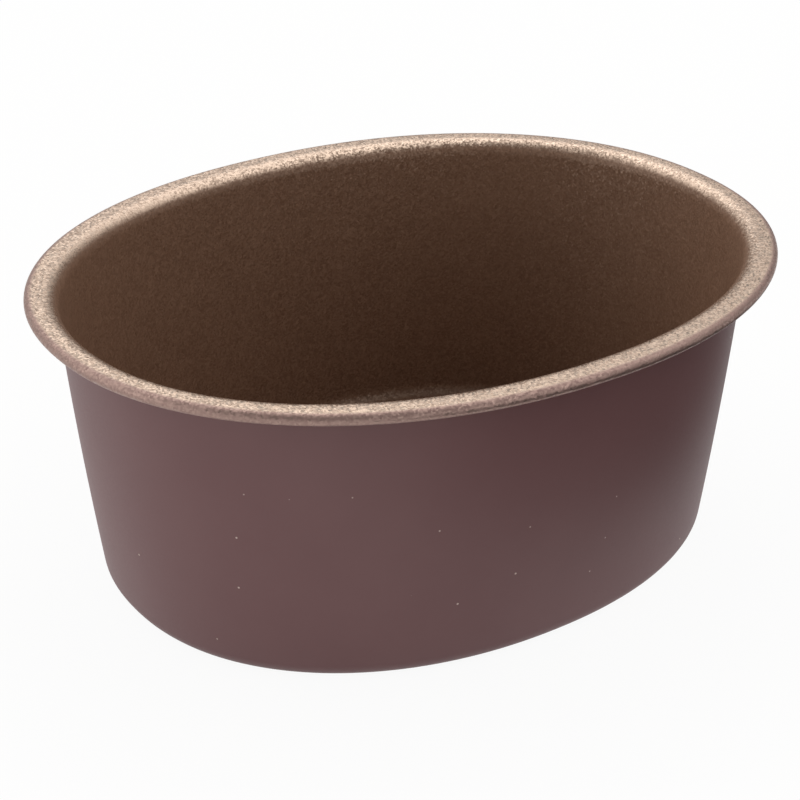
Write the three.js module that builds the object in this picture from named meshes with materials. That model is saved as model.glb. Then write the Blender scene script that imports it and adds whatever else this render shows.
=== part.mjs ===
// Oval aspic mould, drawn in one piece from coated steel sheet: a flat base, a slightly bowed wall that
// leans out to the top, a narrow flange turned outward, and an edge rolled under. A non-stick lining
// covers the inside, the flange and the roll, and a lacquer covers the outside.
//
// Millimetres, +Z up, +X along the oval. The origin is the middle of the base's underside.

import * as THREE from 'three';

// Overall sizes, over the coats
const RIM_LENGTH = 100; // across the rolled edge, along X
const RIM_WIDTH = 80; // across the rolled edge, along Y
const HEIGHT = 40; // underside of the base to the top of the flange
const OVAL_POWER = 2.12; // 2 is an ellipse, and more is fuller between the ends and the sides

// Section through the wall, measured on its outside face
const END_DRAFT = THREE.MathUtils.degToRad(6.2); // lean of the wall midway up, at the two ends
const SIDE_DRAFT = THREE.MathUtils.degToRad(3.7); // the same at the two long sides
const WALL_CURVE = THREE.MathUtils.degToRad(3); // how much more the wall leans at its foot than at its top
const FOOT_RADIUS = 2.4; // turn from the base to the wall
const FLARE_RADIUS = 1.8; // turn from the wall to the flange
const END_FLANGE = 1.2; // flat stretch between the flare and the roll, at the two ends
const SIDE_FLANGE = 1.7; // the same at the two long sides
const ROLL_BORE_RADIUS = 0.33; // hollow inside the rolled edge
const ROLL_TURN = THREE.MathUtils.degToRad(270); // from the flange round to the cut edge

// Thickness of each layer, from the outside in
const LACQUER = 0.03;
const STEEL = 0.35;
const LINING = 0.04;
const SHEET = LACQUER + STEEL + LINING;

// Facets
const STATIONS = 48; // sections round the oval
const FOOT_STEPS = 4;
const WALL_STEPS = 4;
const FLARE_STEPS = 4;
const ROLL_STEPS = 9;

const UP = Math.PI / 2;

function pointOnArc(centre, radius, angle) {
  return new THREE.Vector2(Math.cos(angle), Math.sin(angle)).multiplyScalar(radius).add(centre);
}

// Points along an arc of the section, each with the direction in which the sheet's thickness grows.
// inward is true where that direction points at the arc's centre.
function arc(centre, radius, from, to, steps, inward) {
  return Array.from({ length: steps + 1 }, (_, step) => {
    const angle = THREE.MathUtils.lerp(from, to, step / steps);
    const thickens = new THREE.Vector2(Math.cos(angle), Math.sin(angle)).multiplyScalar(inward ? -1 : 1);
    return { at: pointOnArc(centre, radius, angle), thickens };
  });
}

// The sheet's outside face, from the edge of the flat base up the wall and round the roll to the cut
// edge. share is 1 at the oval's ends and 0 at its long sides. x is the distance out from the rim's
// outline, so it is negative, and y is the height.
function outsideFace(share) {
  const draft = THREE.MathUtils.lerp(SIDE_DRAFT, END_DRAFT, share);
  const footLean = draft + WALL_CURVE / 2;
  const topLean = draft - WALL_CURVE / 2;
  const rollRadius = ROLL_BORE_RADIUS + SHEET;
  const rollCentre = new THREE.Vector2(-rollRadius, HEIGHT - rollRadius);
  const flange = THREE.MathUtils.lerp(SIDE_FLANGE, END_FLANGE, share);
  const flareCentre = new THREE.Vector2(-rollRadius - flange, HEIGHT - SHEET - FLARE_RADIUS);
  // The wall is one wide arc that runs into the flare above it and the foot below it
  const wallTop = pointOnArc(flareCentre, FLARE_RADIUS, Math.PI - topLean);
  const wallRise = wallTop.y - FOOT_RADIUS * (1 - Math.sin(footLean));
  const wallRadius = wallRise / (Math.sin(footLean) - Math.sin(topLean));
  const wallCentre = pointOnArc(wallTop, -wallRadius, -topLean);
  const footCentre = pointOnArc(wallCentre, wallRadius - FOOT_RADIUS, -footLean);
  return [
    ...arc(footCentre, FOOT_RADIUS, -UP, -footLean, FOOT_STEPS, true),
    ...arc(wallCentre, wallRadius, -footLean, -topLean, WALL_STEPS, true).slice(1, -1),
    ...arc(flareCentre, FLARE_RADIUS, Math.PI - topLean, UP, FLARE_STEPS, false),
    ...arc(rollCentre, ROLL_BORE_RADIUS, UP, UP - ROLL_TURN, ROLL_STEPS, false),
  ];
}

// Where a station stands on the rim's outline, which way is out there, and how near it is to an end
function station(index) {
  const turn = (index / STATIONS) * 2 * Math.PI;
  const along = Math.cos(turn);
  const across = Math.sin(turn);
  const at = new THREE.Vector2(
    (RIM_LENGTH / 2) * Math.sign(along) * Math.abs(along) ** (2 / OVAL_POWER),
    (RIM_WIDTH / 2) * Math.sign(across) * Math.abs(across) ** (2 / OVAL_POWER),
  );
  const slope = 2 - 2 / OVAL_POWER;
  const out = new THREE.Vector2(
    (Math.sign(along) * Math.abs(along) ** slope) / RIM_LENGTH,
    (Math.sign(across) * Math.abs(across) ** slope) / RIM_WIDTH,
  ).normalize();
  return { at, out, share: out.x ** 2 };
}

// One layer's section: along its outer face to the cut edge, then back along its inner face. The
// depths are measured from the sheet's outside face.
function layerSection(outerDepth, innerDepth, share) {
  const face = outsideFace(share);
  const atDepth = (depth) => face.map(({ at, thickens }) => at.clone().addScaledVector(thickens, depth));
  return [...atDepth(outerDepth), ...atDepth(innerDepth).reverse()];
}

// A lathe splits its four-sided facets one way along the profile, so a layer's two faces, which run
// opposite ways, would be split along different diagonals. The inner face's facets are split the other
// way instead, so that layers which share a face meet exactly.
function matchDiagonals(geometry, rows) {
  const index = geometry.getIndex();
  for (let along = 0; along < STATIONS; along += 1) {
    for (let row = rows / 2; row < rows - 1; row += 1) {
      const corner = along * rows + row;
      const [a, b, c, d] = [corner, corner + rows, corner + rows + 1, corner + 1];
      index.array.set([a, b, c, a, c, d], (along * (rows - 1) + row) * 6);
    }
  }
}

// A layer is a lathe whose profile starts and ends on the axis, with each section then set out from
// the oval outline instead of from a circle.
function layerGeometry(outerDepth, innerDepth) {
  const ends = [new THREE.Vector2(0, outerDepth), new THREE.Vector2(0, innerDepth)];
  const round = layerSection(outerDepth, innerDepth, 1).map(
    ({ x, y }) => new THREE.Vector2(RIM_LENGTH / 2 + x, y),
  );
  const profile = [ends[0], ...round, ends[1]];
  const geometry = new THREE.LatheGeometry(profile, STATIONS);
  const position = geometry.getAttribute('position');
  for (let index = 0; index <= STATIONS; index += 1) {
    const first = index * profile.length;
    const { at, out, share } = station(index % STATIONS);
    position.setXYZ(first, 0, 0, outerDepth);
    position.setXYZ(first + profile.length - 1, 0, 0, innerDepth);
    layerSection(outerDepth, innerDepth, share).forEach(({ x, y }, row) => {
      position.setXYZ(first + row + 1, at.x + out.x * x, at.y + out.y * x, y);
    });
  }
  matchDiagonals(geometry, profile.length);
  geometry.computeVertexNormals();
  return geometry;
}

function layer(name, outerDepth, thickness, finish) {
  const geometry = layerGeometry(outerDepth, outerDepth + thickness);
  const mesh = new THREE.Mesh(geometry, new THREE.MeshStandardMaterial(finish));
  mesh.name = name;
  return mesh;
}

const mould = new THREE.Group();
mould.name = 'aspic_mould';
mould.add(
  layer('outer_lacquer', 0, LACQUER, { color: 0x6b5655, roughness: 0.45, metalness: 0.1 }),
  layer('steel_shell', LACQUER, STEEL, { color: 0xb9b6b2, roughness: 0.35, metalness: 1 }),
  layer('nonstick_lining', LACQUER + STEEL, LINING, { color: 0x5a4632, roughness: 0.5, metalness: 0.3 }),
);

export default mould;
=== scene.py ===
"""Dresses the oval aspic mould: fine meshes of its three layers, their finishes, and a plain studio."""

import logging
import math
from dataclasses import dataclass
from enum import Enum

import bmesh
import bpy
from mathutils import Matrix, Vector


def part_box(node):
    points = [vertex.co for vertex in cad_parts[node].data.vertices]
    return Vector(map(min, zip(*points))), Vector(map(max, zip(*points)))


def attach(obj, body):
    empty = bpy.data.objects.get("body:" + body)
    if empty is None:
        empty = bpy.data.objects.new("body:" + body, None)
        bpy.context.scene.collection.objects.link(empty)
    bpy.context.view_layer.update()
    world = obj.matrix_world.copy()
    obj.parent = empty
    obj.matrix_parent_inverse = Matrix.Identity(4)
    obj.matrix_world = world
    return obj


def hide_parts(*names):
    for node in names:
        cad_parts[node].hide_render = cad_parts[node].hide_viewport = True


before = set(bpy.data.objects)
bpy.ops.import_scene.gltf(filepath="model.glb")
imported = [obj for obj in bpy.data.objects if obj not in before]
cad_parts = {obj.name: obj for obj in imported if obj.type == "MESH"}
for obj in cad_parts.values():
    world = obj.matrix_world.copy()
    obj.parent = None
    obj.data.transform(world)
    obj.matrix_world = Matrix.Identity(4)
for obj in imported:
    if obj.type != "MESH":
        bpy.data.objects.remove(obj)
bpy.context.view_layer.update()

log = logging.getLogger("aspic_mould")

MM = 0.001
# The photo's side in pixels, and the width of Blender's camera sensor in millimetres
IMAGE_SIDE = 800
SENSOR_WIDTH = 36.0
# Straight up in the section, as an angle
UP = math.pi / 2


def linear(colour: str) -> tuple[float, float, float, float]:
    """Turns an sRGB hex colour to linear.

    Args:
        colour: Six hex digits after a hash sign.

    Returns:
        Red, green, blue and an alpha of 1, as Blender's colour sockets take them.
    """
    shares = [int(colour[i:i + 2], 16) / 255 for i in (1, 3, 5)]
    red, green, blue = (s / 12.92 if s <= 0.04045 else ((s + 0.055) / 1.055) ** 2.4 for s in shares)
    return red, green, blue, 1.0


def heading(azimuth: float, elevation: float) -> Vector:
    """Gives a direction in the mould's frame.

    Args:
        azimuth: The angle round from the mould's -Y side towards its +X end, in radians.
        elevation: The angle above the floor, in radians.

    Returns:
        The direction, of length 1.
    """
    flat = math.cos(elevation)
    return Vector((math.sin(azimuth) * flat, -math.cos(azimuth) * flat, math.sin(elevation)))


def add(tree: bpy.types.NodeTree, kind: str, inputs: dict[str | int, object] | None = None,
        **settings: object) -> bpy.types.Node:
    """Adds a node, gives it its settings and fills its inputs.

    Args:
        tree: The node tree that gets the node.
        kind: The node's type.
        inputs: Values, or other nodes' output sockets, by the input's name or number.
        **settings: The node's own properties.

    Returns:
        The new node.
    """
    node = tree.nodes.new(kind)
    for name, value in settings.items():
        setattr(node, name, value)
    for key, value in (inputs or {}).items():
        if isinstance(value, bpy.types.NodeSocket):
            tree.links.new(value, node.inputs[key])
        else:
            node.inputs[key].default_value = value
    return node


def new_material(name: str) -> tuple[bpy.types.Material, bpy.types.NodeTree]:
    """Makes an empty node material.

    Args:
        name: The material's name.

    Returns:
        The material and its node tree.
    """
    material = bpy.data.materials.new(name)
    material.use_nodes = True
    material.node_tree.nodes.clear()
    return material, material.node_tree


@dataclass(frozen=True)
class FlakedNonstick:
    """PTFE non-stick coat filled with bronze-toned mica flake, sprayed on and baked.

    The film is a dark brown that is full of flakes lying nearly flat. More flake shows on the rim than in
    the cavity, so the rim shines like blasted bronze while the cavity is a dull brown with a fine grain:
    the cavity's darker colour is painted shade. A faint orange peel is left from the spraying. A mist of
    the outside's lacquer covers the bead's outer side and fades out just past its crest; its colour is
    partly painted shade that dims the bead's outer side.
    """

    rim_length: float
    rim_width: float
    rim_power: float
    film: str = "#6a4c39"
    film_thick: str = "#856651"
    film_grain: float = 0.6
    flake: str = "#e6cdb8"
    # Partly a real lacquer mist, partly painted shade that dims the flakes on the bead's outer side
    mist_and_shade: str = "#8c706c"
    ior: float = 1.35
    film_roughness: float = 0.65
    flake_roughness: float = 0.26
    # The small cavity share against the rim share is painted shade: it darkens the cavity below the rim
    rim_share: float = 0.66
    cavity_share: float = 0.04
    share_spread: float = 0.55
    shade_fade_low: float = 38.8 * MM
    shade_fade_high: float = 39.9 * MM
    # Real flake is about 0.06 mm across, too fine to show, so it is drawn at 0.24 mm
    flake_size: float = 0.24 * MM
    flake_tilt: float = 0.3
    mist_and_shade_reach: float = 1.05 * MM
    mist_and_shade_full: float = 0.45 * MM
    mist_and_shade_cover: float = 0.78
    mist_roughness: float = 0.46
    peel_size: float = 1.1 * MM
    peel_height: float = 0.008 * MM
    peel_detail: float = 2.0
    mottle_size: float = 6.0 * MM
    mottle_detail: float = 4.0
    mottle_roughness: float = 0.6
    outward_limit: float = 2.0 * MM

    def outward(self, tree: bpy.types.NodeTree, where: bpy.types.NodeSocket,
                facing: bpy.types.NodeSocket) -> bpy.types.NodeSocket:
        """Tells the bead's outer side from the rest.

        Args:
            tree: The coat's node tree.
            where: The place, in the mould's frame.
            facing: The surface's normal there.

        Returns:
            1 where the coat faces away from the mould's middle, 0 elsewhere.
        """
        flat = add(tree, "ShaderNodeVectorMath", {0: where, 1: (1.0, 1.0, 0.0)}, operation="MULTIPLY")
        along = add(tree, "ShaderNodeVectorMath", {
            0: flat.outputs["Vector"], 1: facing}, operation="DOT_PRODUCT")
        # The limit leaves out the flat base and flange, whose normals lean by rounding only
        return add(tree, "ShaderNodeMath", {
            0: along.outputs["Value"], 1: self.outward_limit}, operation="GREATER_THAN").outputs[0]

    def mist_and_shade_share(self, tree: bpy.types.NodeTree, where: bpy.types.NodeSocket) -> bpy.types.NodeSocket:
        """Works out how much lacquer mist, partly painted shade, lies on a place, from how near it is to
        the rim's edge.

        Args:
            tree: The coat's node tree.
            where: The place, in the mould's frame.

        Returns:
            The share, from 0 to the cover of the mist and its painted shade.
        """
        scaled = add(tree, "ShaderNodeVectorMath", {
            0: where, 1: (2 / self.rim_length, 2 / self.rim_width, 0.0)}, operation="MULTIPLY")
        size = add(tree, "ShaderNodeVectorMath", {0: scaled.outputs["Vector"]}, operation="ABSOLUTE")
        part = add(tree, "ShaderNodeSeparateXYZ", {"Vector": size.outputs["Vector"]})
        along = add(tree, "ShaderNodeMath", {
            0: part.outputs["X"], 1: self.rim_power}, operation="POWER")
        across = add(tree, "ShaderNodeMath", {
            0: part.outputs["Y"], 1: self.rim_power}, operation="POWER")
        both = add(tree, "ShaderNodeMath", {0: along.outputs[0], 1: across.outputs[0]}, operation="ADD")
        reach = add(tree, "ShaderNodeMath", {
            0: both.outputs[0], 1: 1 / self.rim_power}, operation="POWER")
        # Distances from the edge become shares of the way out to it, for a rim as wide as its mean
        radius = (self.rim_length + self.rim_width) / 4
        return add(tree, "ShaderNodeMapRange", {
            "Value": reach.outputs[0], "From Min": 1 - self.mist_and_shade_reach / radius,
            "From Max": 1 - self.mist_and_shade_full / radius, "To Max": self.mist_and_shade_cover},
            interpolation_type="SMOOTHSTEP").outputs["Result"]

    def flake_share(self, tree: bpy.types.NodeTree, where: bpy.types.NodeSocket,
                    chance: bpy.types.NodeSocket, outside: bpy.types.NodeSocket) -> bpy.types.NodeSocket:
        """Works out how much flake shows: much on the rim, little in the cavity, whose darkness is painted
        shade.

        Args:
            tree: The coat's node tree.
            where: The place, in the mould's frame.
            chance: The flake's own random number, 0 to 1.
            outside: 1 on the bead's outer side.

        Returns:
            The share of flake.
        """
        # Less flake lower down is painted shade that darkens the cavity
        height = add(tree, "ShaderNodeSeparateXYZ", {"Vector": where}).outputs["Z"]
        rim_height_share = add(tree, "ShaderNodeMapRange", {
            "Value": height, "From Min": self.shade_fade_low, "From Max": self.shade_fade_high},
            interpolation_type="SMOOTHSTEP")
        rim_or_outside = add(tree, "ShaderNodeMath", {
            0: rim_height_share.outputs["Result"], 1: outside}, operation="MAXIMUM")
        middle = add(tree, "ShaderNodeMapRange", {
            "Value": rim_or_outside.outputs[0], "To Min": self.cavity_share, "To Max": self.rim_share})
        spread = add(tree, "ShaderNodeMapRange", {
            "Value": chance, "To Min": 1 - self.share_spread, "To Max": 1 + self.share_spread})
        return add(tree, "ShaderNodeMath", {
            0: middle.outputs["Result"], 1: spread.outputs["Result"]}, operation="MULTIPLY").outputs[0]

    def material(self) -> bpy.types.Material:
        """Makes the coat's node material.

        Returns:
            The material.
        """
        material, tree = new_material("flaked_nonstick")
        where = add(tree, "ShaderNodeTexCoord").outputs["Object"]
        cells = add(tree, "ShaderNodeTexVoronoi", {"Vector": where, "Scale": 1 / self.flake_size})
        chance = add(tree, "ShaderNodeSeparateColor", {"Color": cells.outputs["Color"]}).outputs["Red"]
        mottle = add(tree, "ShaderNodeTexNoise", {
            "Vector": where, "Scale": 1 / self.mottle_size, "Detail": self.mottle_detail,
            "Roughness": self.mottle_roughness})
        cover = add(tree, "ShaderNodeMix", {0: self.film_grain, 2: mottle.outputs["Fac"], 3: chance})
        film = add(tree, "ShaderNodeMix", {
            0: cover.outputs[0], 6: linear(self.film), 7: linear(self.film_thick)}, data_type="RGBA")
        facing = add(tree, "ShaderNodeNewGeometry").outputs["Normal"]
        outside = self.outward(tree, where, facing)
        mist_and_shade_mask = self.mist_and_shade_share(tree, where)
        # The mist colour mixed in here is partly painted shade on the bead's outer side
        film_colour = add(tree, "ShaderNodeMix", {
            0: mist_and_shade_mask, 6: film.outputs[2], 7: linear(self.mist_and_shade)}, data_type="RGBA")
        flake_colour = add(tree, "ShaderNodeMix", {
            0: mist_and_shade_mask, 6: linear(self.flake), 7: linear(self.mist_and_shade)}, data_type="RGBA")
        # Each flake's random colour, less the middle of its range, is the way the flake leans
        lean = add(tree, "ShaderNodeVectorMath", {
            0: cells.outputs["Color"], 1: (0.5, 0.5, 0.5)}, operation="SUBTRACT")
        tilt = add(tree, "ShaderNodeVectorMath", {
            0: lean.outputs["Vector"], "Scale": self.flake_tilt}, operation="SCALE")
        tilted = add(tree, "ShaderNodeVectorMath", {
            0: facing, 1: tilt.outputs["Vector"]}, operation="ADD")
        level = add(tree, "ShaderNodeVectorMath", {0: tilted.outputs["Vector"]}, operation="NORMALIZE")
        peel = add(tree, "ShaderNodeTexNoise", {
            "Vector": where, "Scale": 1 / self.peel_size, "Detail": self.peel_detail})
        bump = add(tree, "ShaderNodeBump", {
            "Height": peel.outputs["Fac"], "Distance": self.peel_height,
            "Normal": level.outputs["Vector"]})
        body = add(tree, "ShaderNodeBsdfPrincipled", {
            "Base Color": film_colour.outputs[2], "Roughness": self.film_roughness, "IOR": self.ior,
            "Normal": bump.outputs["Normal"]})
        dulled = add(tree, "ShaderNodeMapRange", {
            "Value": mist_and_shade_mask, "To Min": self.flake_roughness, "To Max": self.mist_roughness})
        flakes = add(tree, "ShaderNodeBsdfPrincipled", {
            "Base Color": flake_colour.outputs[2], "Metallic": 1.0,
            "Roughness": dulled.outputs["Result"], "Normal": bump.outputs["Normal"]})
        share = self.flake_share(tree, where, chance, outside)
        shader = add(tree, "ShaderNodeMixShader", {
            0: share, 1: body.outputs["BSDF"], 2: flakes.outputs["BSDF"]})
        add(tree, "ShaderNodeOutputMaterial", {"Surface": shader.outputs["Shader"]})
        return material


@dataclass(frozen=True)
class BakedLacquer:
    """Polyester lacquer, sprayed on the outside and baked.

    A smooth satin film: it shows soft broad reflections, a little cloudiness where it lies thicker, and
    a few pale specks and nicks from use.
    """

    shade: str = "#654344"
    shade_thick: str = "#704f4f"
    speck: str = "#c9b8ae"
    ior: float = 1.45
    roughness: float = 0.5
    roughness_spread: float = 0.06
    cloud_size: float = 16.0 * MM
    cloud_detail: float = 5.0
    cloud_roughness: float = 0.55
    grain_size: float = 0.35 * MM
    grain_height: float = 0.0012 * MM
    grain_detail: float = 2.0
    speck_spacing: float = 3.2 * MM
    speck_radius: float = 0.16 * MM
    speck_core: float = 0.6

    def material(self) -> bpy.types.Material:
        """Makes the lacquer's node material.

        Returns:
            The material.
        """
        material, tree = new_material("baked_lacquer")
        where = add(tree, "ShaderNodeTexCoord").outputs["Object"]
        cloud = add(tree, "ShaderNodeTexNoise", {
            "Vector": where, "Scale": 1 / self.cloud_size, "Detail": self.cloud_detail,
            "Roughness": self.cloud_roughness})
        film = add(tree, "ShaderNodeMix", {
            0: cloud.outputs["Fac"], 6: linear(self.shade), 7: linear(self.shade_thick)},
            data_type="RGBA")
        specks = add(tree, "ShaderNodeTexVoronoi", {"Vector": where, "Scale": 1 / self.speck_spacing})
        reach = self.speck_radius / self.speck_spacing
        speckled = add(tree, "ShaderNodeMapRange", {
            "Value": specks.outputs["Distance"], "From Min": reach * self.speck_core, "From Max": reach,
            "To Min": 1.0, "To Max": 0.0})
        colour = add(tree, "ShaderNodeMix", {
            0: speckled.outputs["Result"], 6: film.outputs[2], 7: linear(self.speck)}, data_type="RGBA")
        grain = add(tree, "ShaderNodeTexNoise", {
            "Vector": where, "Scale": 1 / self.grain_size, "Detail": self.grain_detail})
        roughness = add(tree, "ShaderNodeMapRange", {
            "Value": grain.outputs["Fac"], "To Min": self.roughness - self.roughness_spread,
            "To Max": self.roughness + self.roughness_spread})
        bump = add(tree, "ShaderNodeBump", {
            "Height": grain.outputs["Fac"], "Distance": self.grain_height})
        shader = add(tree, "ShaderNodeBsdfPrincipled", {
            "Base Color": colour.outputs[2], "Roughness": roughness.outputs["Result"], "IOR": self.ior,
            "Normal": bump.outputs["Normal"]})
        add(tree, "ShaderNodeOutputMaterial", {"Surface": shader.outputs["BSDF"]})
        return material


@dataclass(frozen=True)
class ShearedSteel:
    """Cold-rolled steel, bare only where the sheet was sheared.

    The cut edge shows a bright burnished band and a duller torn one, in fine streaks across the sheet.
    """

    bright: str = "#c4c0ba"
    dull: str = "#8d8882"
    roughness: float = 0.38
    streak_size: float = 0.12 * MM
    streak_detail: float = 3.0

    def material(self) -> bpy.types.Material:
        """Makes the steel's node material.

        Returns:
            The material.
        """
        material, tree = new_material("sheared_steel")
        where = add(tree, "ShaderNodeTexCoord").outputs["Object"]
        streaks = add(tree, "ShaderNodeTexNoise", {
            "Vector": where, "Scale": 1 / self.streak_size, "Detail": self.streak_detail})
        colour = add(tree, "ShaderNodeMix", {
            0: streaks.outputs["Fac"], 6: linear(self.dull), 7: linear(self.bright)}, data_type="RGBA")
        shader = add(tree, "ShaderNodeBsdfPrincipled", {
            "Base Color": colour.outputs[2], "Metallic": 1.0, "Roughness": self.roughness})
        add(tree, "ShaderNodeOutputMaterial", {"Surface": shader.outputs["BSDF"]})
        return material


@dataclass(frozen=True)
class OvalOutline:
    """The rim's outline in plan: an oval that is a little fuller than an ellipse."""

    length: float
    width: float
    power: float = 2.12

    def station(self, turn: float) -> tuple[Vector, Vector]:
        """Finds a place on the outline.

        Args:
            turn: How far round, in radians from the +X end.

        Returns:
            The point on the outline, and the direction straight out of it.
        """
        along, across = math.cos(turn), math.sin(turn)
        reach, slope = 2 / self.power, 2 - 2 / self.power
        at = Vector((
            math.copysign(abs(along) ** reach, along) * self.length / 2,
            math.copysign(abs(across) ** reach, across) * self.width / 2))
        out = Vector((
            math.copysign(abs(along) ** slope, along) / self.length,
            math.copysign(abs(across) ** slope, across) / self.width))
        return at, out.normalized()


class Thickens(Enum):
    """Which way the sheet's thickness grows at a bend: towards the bend's centre, or away from it."""

    TOWARDS_CENTRE = -1.0
    FROM_CENTRE = 1.0


def toward(angle: float) -> Vector:
    """Gives the direction at an angle in the section."""
    return Vector((math.cos(angle), math.sin(angle)))


@dataclass(frozen=True)
class SectionPoint:
    """A point on the section's outside face, and the direction in which the thickness grows there."""

    at: Vector
    thickens: Vector

    def inside(self, depth: float) -> Vector:
        """Gives the point at a depth in from the outside face."""
        return self.at + self.thickens * depth


@dataclass(frozen=True)
class SheetSection:
    """The section through the sheet: base edge, foot, bowed wall, flare, flange and rolled edge."""

    height: float
    end_draft: float = math.radians(6.2)
    side_draft: float = math.radians(3.7)
    wall_curve: float = math.radians(3.0)
    foot_radius: float = 2.4 * MM
    flare_radius: float = 1.8 * MM
    end_flange: float = 1.2 * MM
    side_flange: float = 1.7 * MM
    roll_bore_radius: float = 0.33 * MM
    roll_turn: float = math.radians(270)
    lacquer: float = 0.03 * MM
    steel: float = 0.35 * MM
    lining: float = 0.04 * MM
    foot_steps: int = 10
    wall_steps: int = 14
    flare_steps: int = 12
    flange_steps: int = 3
    roll_steps: int = 27

    @property
    def sheet(self) -> float:
        """The whole thickness, coats included."""
        return self.lacquer + self.steel + self.lining

    def arc(self, centre: Vector, radius: float, angles: tuple[float, float], steps: int,
            thickens: Thickens) -> list[SectionPoint]:
        """Lays points along an arc of the outside face.

        Args:
            centre: The arc's centre.
            radius: The arc's radius.
            angles: The angles of its first and last points.
            steps: How many facets it has.
            thickens: Which way the thickness grows.

        Returns:
            The points, one more than the steps.
        """
        points = []
        for step in range(steps + 1):
            angle = angles[0] + (angles[1] - angles[0]) * step / steps
            radial = toward(angle)
            points.append(SectionPoint(centre + radial * radius, radial * thickens.value))
        return points

    def outside_face(self, share: float) -> list[SectionPoint]:
        """Lays out the outside face from the flat base to the cut edge.

        Args:
            share: 1 at the oval's ends and 0 at its long sides, where the wall leans less.

        Returns:
            Points whose first coordinate is the distance out from the rim's outline, and whose second
            is the height.
        """
        draft = self.side_draft + (self.end_draft - self.side_draft) * share
        foot_lean = draft + self.wall_curve / 2
        top_lean = draft - self.wall_curve / 2
        roll_radius = self.roll_bore_radius + self.sheet
        roll_centre = Vector((-roll_radius, self.height - roll_radius))
        flange = self.side_flange + (self.end_flange - self.side_flange) * share
        flare_centre = Vector((-roll_radius - flange, self.height - self.sheet - self.flare_radius))
        # The wall is one wide arc that runs into the flare above it and the foot below it
        wall_top = flare_centre + toward(math.pi - top_lean) * self.flare_radius
        rise = wall_top.y - self.foot_radius * (1 - math.sin(foot_lean))
        wall_radius = rise / (math.sin(foot_lean) - math.sin(top_lean))
        wall_centre = wall_top - toward(-top_lean) * wall_radius
        foot_centre = wall_centre + toward(-foot_lean) * (wall_radius - self.foot_radius)
        foot = self.arc(
            foot_centre, self.foot_radius, (-UP, -foot_lean), self.foot_steps, Thickens.TOWARDS_CENTRE)
        wall = self.arc(
            wall_centre, wall_radius, (-foot_lean, -top_lean), self.wall_steps, Thickens.TOWARDS_CENTRE)
        flare = self.arc(
            flare_centre, self.flare_radius, (math.pi - top_lean, UP), self.flare_steps,
            Thickens.FROM_CENTRE)
        roll = self.arc(
            roll_centre, self.roll_bore_radius, (UP, UP - self.roll_turn), self.roll_steps,
            Thickens.FROM_CENTRE)
        flat = []
        for step in range(1, self.flange_steps):
            spot = flare[-1].at.lerp(roll[0].at, step / self.flange_steps)
            flat.append(SectionPoint(spot, flare[-1].thickens))
        return foot + wall[1:-1] + flare + flat + roll


@dataclass
class Layer:
    """One layer of the mould: a closed skin between two depths in from the outside face."""

    outline: OvalOutline
    section: SheetSection
    stations: int = 192
    base_rings: int = 8
    name: str = ""
    node: str = ""
    slot: str = ""

    def depths(self) -> tuple[float, float]:
        """Gives the depths of the layer's outer and inner faces."""
        raise NotImplementedError

    def finish(self) -> bpy.types.Material:
        """Makes the layer's material."""
        raise NotImplementedError

    def face_rings(self, depth: float) -> list[list[Vector]]:
        """Lays out one face as rings of points, from the middle of the base to the cut edge.

        Args:
            depth: The face's depth in from the outside face.

        Returns:
            The rings, each with one point for each station.
        """
        columns = []
        for index in range(self.stations):
            at, out = self.outline.station(2 * math.pi * index / self.stations)
            column = []
            for point in self.section.outside_face(out.x ** 2):
                spot = point.inside(depth)
                column.append(Vector((at.x + out.x * spot.x, at.y + out.y * spot.x, spot.y)))
            edge = column[0]
            base = []
            for ring in range(1, self.base_rings):
                share = ring / self.base_rings
                base.append(Vector((edge.x * share, edge.y * share, edge.z)))
            columns.append(base + column)
        return [list(ring) for ring in zip(*columns)]

    def build(self) -> bpy.types.Object:
        """Builds the layer's closed mesh.

        Returns:
            The layer's object, linked into the scene.
        """
        outer, inner = self.depths()
        rings = self.face_rings(outer) + self.face_rings(inner)[::-1]
        mesh = bpy.data.meshes.new(self.name)
        work = bmesh.new()
        grid = [[work.verts.new(spot) for spot in ring] for ring in rings]
        for low, high in zip(grid, grid[1:]):
            for index in range(self.stations):
                after = (index + 1) % self.stations
                work.faces.new((low[index], low[after], high[after], high[index]))
        for ring, depth, forward in ((grid[0], outer, False), (grid[-1], inner, True)):
            middle = work.verts.new((0.0, 0.0, depth))
            for index in range(self.stations):
                pair = ring[index], ring[(index + 1) % self.stations]
                work.faces.new((middle, *pair) if forward else (middle, *reversed(pair)))
        for face in work.faces:
            face.smooth = True
        cut = len(rings) // 2
        for ring in (grid[cut - 1], grid[cut]):
            for index in range(self.stations):
                work.edges.get((ring[index], ring[(index + 1) % self.stations])).smooth = False
        work.to_mesh(mesh)
        work.free()
        piece = bpy.data.objects.new(self.name, mesh)
        bpy.context.scene.collection.objects.link(piece)
        return piece

    def dress(self, piece: bpy.types.Object) -> None:
        """Gives a built layer its finish, its body and its place in the frame.

        Args:
            piece: The layer's object.
        """
        piece.data.materials.append(self.finish())
        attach(piece, "root")
        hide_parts(self.node)


@dataclass
class OuterLacquer(Layer):
    """The lacquer on the outside of the wall and base, and inside the roll."""

    name: str = "lacquer_coat"
    node: str = "outer_lacquer"
    slot: str = "lacquer"

    def depths(self) -> tuple[float, float]:
        """Gives the depths of the lacquer's outer and inner faces."""
        return 0.0, self.section.lacquer

    def finish(self) -> bpy.types.Material:
        """Makes the lacquer's material."""
        return BakedLacquer().material()


@dataclass
class SteelShell(Layer):
    """The drawn steel between the two coats, bare at its cut edge."""

    name: str = "drawn_steel"
    node: str = "steel_shell"
    slot: str = "steel"

    def depths(self) -> tuple[float, float]:
        """Gives the depths of the steel's outer and inner faces."""
        return self.section.lacquer, self.section.lacquer + self.section.steel

    def finish(self) -> bpy.types.Material:
        """Makes the steel's material."""
        return ShearedSteel().material()


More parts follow.
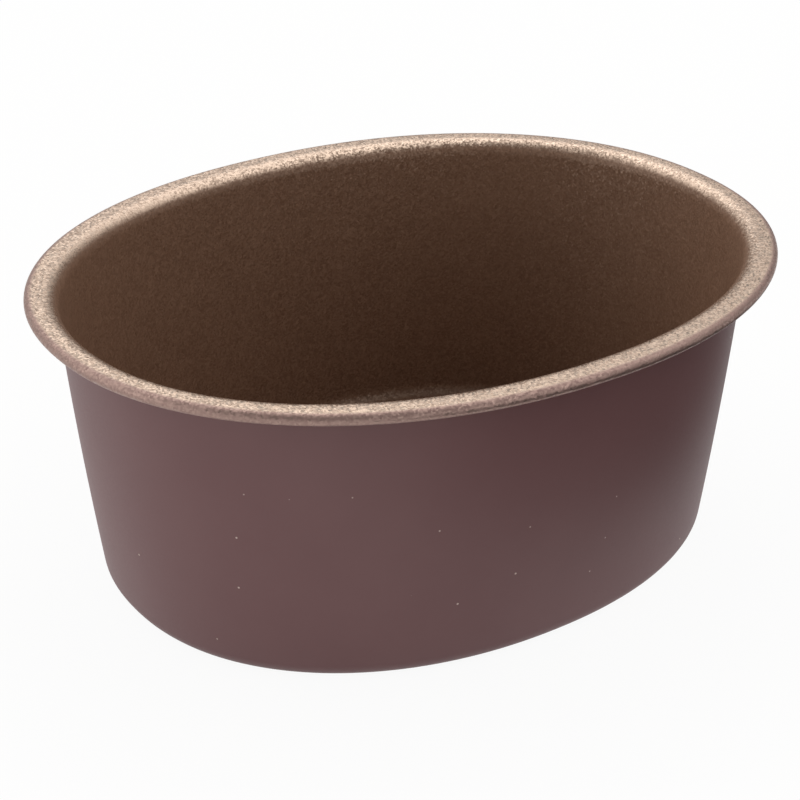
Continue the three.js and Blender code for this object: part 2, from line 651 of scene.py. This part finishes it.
@dataclass
class NonstickLining(Layer):
    """The non-stick coat on the inside, the flange and the rolled edge."""

    name: str = "nonstick_coat"
    node: str = "nonstick_lining"
    slot: str = "nonstick"

    def depths(self) -> tuple[float, float]:
        """Gives the depths of the lining's outer and inner faces."""
        return self.section.lacquer + self.section.steel, self.section.sheet

    def finish(self) -> bpy.types.Material:
        """Makes the lining's material."""
        return FlakedNonstick(self.outline.length, self.outline.width, self.outline.power).material()


@dataclass
class PhotoCamera:
    """The camera at the photograph's angle, worked out from the mould's outline there."""

    azimuth: float = math.radians(-34.57)
    elevation: float = math.radians(27.98)
    roll: float = math.radians(0.42)
    distance: float = 262.6 * MM
    aim_right: float = -1.29 * MM
    aim_height: float = 18.59 * MM
    focal_pixels: float = 1976.0
    clip_start: float = 10 * MM

    def axes(self) -> tuple[Vector, Vector, Vector]:
        """Works out which way the camera is turned.

        Returns:
            Its right, up and back directions.
        """
        back = heading(self.azimuth, self.elevation)
        level = Vector((math.cos(self.azimuth), math.sin(self.azimuth), 0.0))
        above = back.cross(level)
        right = level * math.cos(self.roll) + above * math.sin(self.roll)
        return right, back.cross(right), back

    def build(self) -> bpy.types.Object:
        """Sets up the camera and makes it the scene's own.

        Returns:
            The camera's object.
        """
        data = bpy.data.cameras.new("photo_camera")
        data.sensor_width = SENSOR_WIDTH
        data.lens = self.focal_pixels * SENSOR_WIDTH / IMAGE_SIDE
        data.clip_start = self.clip_start
        camera = bpy.data.objects.new("photo_camera", data)
        right, above, back = self.axes()
        aim = Vector((0.0, 0.0, self.aim_height)) + right * self.aim_right
        turned = Matrix((right, above, back)).transposed().to_4x4()
        camera.matrix_world = Matrix.Translation(aim + back * self.distance) @ turned
        bpy.context.scene.collection.objects.link(camera)
        bpy.context.scene.camera = camera
        return camera


@dataclass(frozen=True)
class SkyPatch:
    """A bright patch of the studio's sky, as from a large diffuser, fading from its middle outward."""

    azimuth: float
    elevation: float
    tightness: float
    radiance: float

    def glow(self, tree: bpy.types.NodeTree, way: bpy.types.NodeSocket) -> bpy.types.NodeSocket:
        """Adds the patch to the sky's nodes.

        Args:
            tree: The sky's node tree.
            way: The direction that is looked in.

        Returns:
            The patch's radiance in that direction.
        """
        nearness = add(tree, "ShaderNodeVectorMath", {
            0: way, 1: heading(self.azimuth, self.elevation)}, operation="DOT_PRODUCT")
        fade = add(tree, "ShaderNodeMath", {
            0: nearness.outputs["Value"], 1: self.tightness, 2: -self.tightness},
            operation="MULTIPLY_ADD")
        share = add(tree, "ShaderNodeMath", {0: fade.outputs[0]}, operation="EXPONENT")
        return add(tree, "ShaderNodeMath", {
            0: share.outputs[0], 1: self.radiance}, operation="MULTIPLY").outputs[0]


@dataclass
class Studio:
    """A white floor under a dim sky with seven large bright patches, and a black flag by the mould."""

    floor_radius: float = 3.0
    floor_sides: int = 96
    # The floor lies a hair below the base, so that the two don't share a plane
    floor_gap: float = 0.02 * MM
    floor_white: str = "#f7f6f4"
    floor_glow: float = 0.93
    sky: float = 0.005
    patches: tuple[SkyPatch, ...] = (
        SkyPatch(math.radians(10), math.radians(8), 9.0, 1.4),
        SkyPatch(math.radians(-109), math.radians(8), 9.0, 1.5),
        SkyPatch(math.radians(-80), math.radians(8), 9.0, 0.9),
        SkyPatch(math.radians(-169), math.radians(34), 6.0, 0.8),
        SkyPatch(math.radians(145), math.radians(46), 9.0, 1.5),
        SkyPatch(math.radians(66), math.radians(48), 8.0, 1.9),
        SkyPatch(math.radians(-136), math.radians(48), 8.0, 1.1),
    )
    flag_azimuth: float = math.radians(30)
    flag_distance: float = 54 * MM
    flag_width: float = 180 * MM
    flag_length: float = 300 * MM
    flag_black: str = "#1a1a1a"

    def floor_material(self) -> bpy.types.Material:
        """Makes the floor's material: matt white, mostly glowing to the eye, so that shadows stay faint.

        Returns:
            The material.
        """
        material, tree = new_material("white_floor")
        matt = add(tree, "ShaderNodeBsdfDiffuse", {"Color": linear(self.floor_white)})
        glow = add(tree, "ShaderNodeEmission", {"Color": (1.0, 1.0, 1.0, 1.0)})
        path = add(tree, "ShaderNodeLightPath")
        mirror = add(tree, "ShaderNodeMath", {
            0: path.outputs["Is Camera Ray"], 1: path.outputs["Is Glossy Ray"]}, operation="MAXIMUM")
        seen = add(tree, "ShaderNodeMath", {
            0: mirror.outputs[0], 1: path.outputs["Is Transmission Ray"]}, operation="MAXIMUM")
        share = add(tree, "ShaderNodeMath", {
            0: seen.outputs[0], 1: self.floor_glow}, operation="MULTIPLY")
        mixed = add(tree, "ShaderNodeMixShader", {
            0: share.outputs[0], 1: matt.outputs["BSDF"], 2: glow.outputs["Emission"]})
        add(tree, "ShaderNodeOutputMaterial", {"Surface": mixed.outputs["Shader"]})
        return material

    def build_floor(self) -> bpy.types.Object:
        """Lays the floor under the mould.

        Returns:
            The floor's object.
        """
        mesh = bpy.data.meshes.new("white_floor")
        corners = []
        for index in range(self.floor_sides):
            turn = 2 * math.pi * index / self.floor_sides
            corners.append((self.floor_radius * math.cos(turn), self.floor_radius * math.sin(turn), 0.0))
        mesh.from_pydata(corners, [], [tuple(range(self.floor_sides))])
        mesh.materials.append(self.floor_material())
        floor = bpy.data.objects.new("white_floor", mesh)
        floor.location.z = -self.floor_gap
        bpy.context.scene.collection.objects.link(floor)
        return floor

    def build_flag(self) -> bpy.types.Object:
        """Lays a black flag on the floor beside the mould, unseen by the camera, to deepen the wall there.

        Returns:
            The flag's object.
        """
        material, tree = new_material("black_flag")
        matt = add(tree, "ShaderNodeBsdfDiffuse", {"Color": linear(self.flag_black)})
        clear = add(tree, "ShaderNodeBsdfTransparent")
        below = add(tree, "ShaderNodeNewGeometry").outputs["Backfacing"]
        # Clear from below, so that the floor under it is lit as if the flag weren't there
        mixed = add(tree, "ShaderNodeMixShader", {
            0: below, 1: matt.outputs["BSDF"], 2: clear.outputs["BSDF"]})
        add(tree, "ShaderNodeOutputMaterial", {"Surface": mixed.outputs["Shader"]})
        away = heading(self.flag_azimuth, 0.0)
        side = Vector((-away.y, away.x, 0.0)) * self.flag_width / 2
        near, far = away * self.flag_distance, away * (self.flag_distance + self.flag_length)
        mesh = bpy.data.meshes.new("black_flag")
        mesh.from_pydata([near + side, near - side, far - side, far + side], [], [(0, 1, 2, 3)])
        mesh.materials.append(material)
        flag = bpy.data.objects.new("black_flag", mesh)
        flag.visible_camera = False
        flag.visible_shadow = False
        bpy.context.scene.collection.objects.link(flag)
        return flag

    def build_world(self) -> bpy.types.World:
        """Makes the sky.

        Returns:
            The world.
        """
        world = bpy.data.worlds.new("studio_sky")
        world.use_nodes = True
        tree = world.node_tree
        tree.nodes.clear()
        way = add(tree, "ShaderNodeTexCoord").outputs["Generated"]
        light: float | bpy.types.NodeSocket = self.sky
        for patch in self.patches:
            light = add(tree, "ShaderNodeMath", {0: light, 1: patch.glow(tree, way)}).outputs[0]
        shine = add(tree, "ShaderNodeBackground", {"Color": (1.0, 1.0, 1.0, 1.0), "Strength": light})
        add(tree, "ShaderNodeOutputWorld", {"Surface": shine.outputs["Background"]})
        bpy.context.scene.world = world
        return world

    def build(self) -> None:
        """Builds the floor, the flag and the sky."""
        self.build_floor()
        self.build_flag()
        self.build_world()


def main() -> None:
    """Builds the mould's layers, the camera and the studio, and reports each piece."""
    logging.basicConfig(level=logging.INFO, format="%(message)s")
    bpy.context.scene.view_settings.view_transform = "Standard"
    low, high = (Vector(corner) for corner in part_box("nonstick_lining"))
    outline = OvalOutline(length=high.x - low.x, width=high.y - low.y)
    section = SheetSection(height=high.z)
    PhotoCamera().build()
    for kind in (OuterLacquer, SteelShell, NonstickLining):
        layer = kind(outline, section)
        piece = layer.build()
        layer.dress(piece)
        log.info("%s: %d faces, stands for %s", piece.name, len(piece.data.polygons), layer.node)
    Studio().build()


if __name__ == "__main__":
    main()
